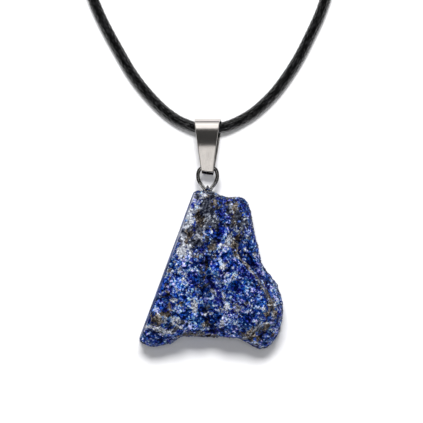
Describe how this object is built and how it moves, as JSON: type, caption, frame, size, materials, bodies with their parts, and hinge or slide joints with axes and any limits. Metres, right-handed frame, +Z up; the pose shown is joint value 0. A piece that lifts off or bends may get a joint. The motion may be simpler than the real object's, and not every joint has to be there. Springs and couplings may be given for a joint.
{
  "type": "rough lapis lazuli pendant on a cord",
  "caption": "Rough blue stone with a sawn side and back, hung by a wire eye and a folded steel bail on a black waxed cord, lying on its back.",
  "frame": {"origin": "on the surface the pendant lies on, under the middle of the box of the stone, eye and bail", "axes": "+Z up out of the stone's rough front, +Y from the stone's foot to its bail, +X to the stone's bulging side"},
  "size_m": [0.0497, 0.1043, 0.0115],
  "materials": {
    "lapis": "rough granular ultramarine with white, grey and brown grains",
    "bail_steel": "satin with a polished bend",
    "eye_wire": "bright drawn wire, darkened",
    "cord_black": "braided cotton with a wax gloss"
  },
  "bodies": {
    "necklace": {"bail": "bail_steel", "cord": "cord_black", "cord_coil": "cord_black", "coil_tie": "cord_black", "closing_knot": "cord_black"},
    "stone": {"stone": "lapis", "eye_loop": "eye_wire"}
  },
  "joints": [
    {"name": "stone_swing", "type": "hinge", "parent": "necklace", "child": "stone", "pos_m": [-0.00068, 0.01245, 0.0036], "axis": [-1, 0, 0], "range_deg": [0, 110]}
  ]
}
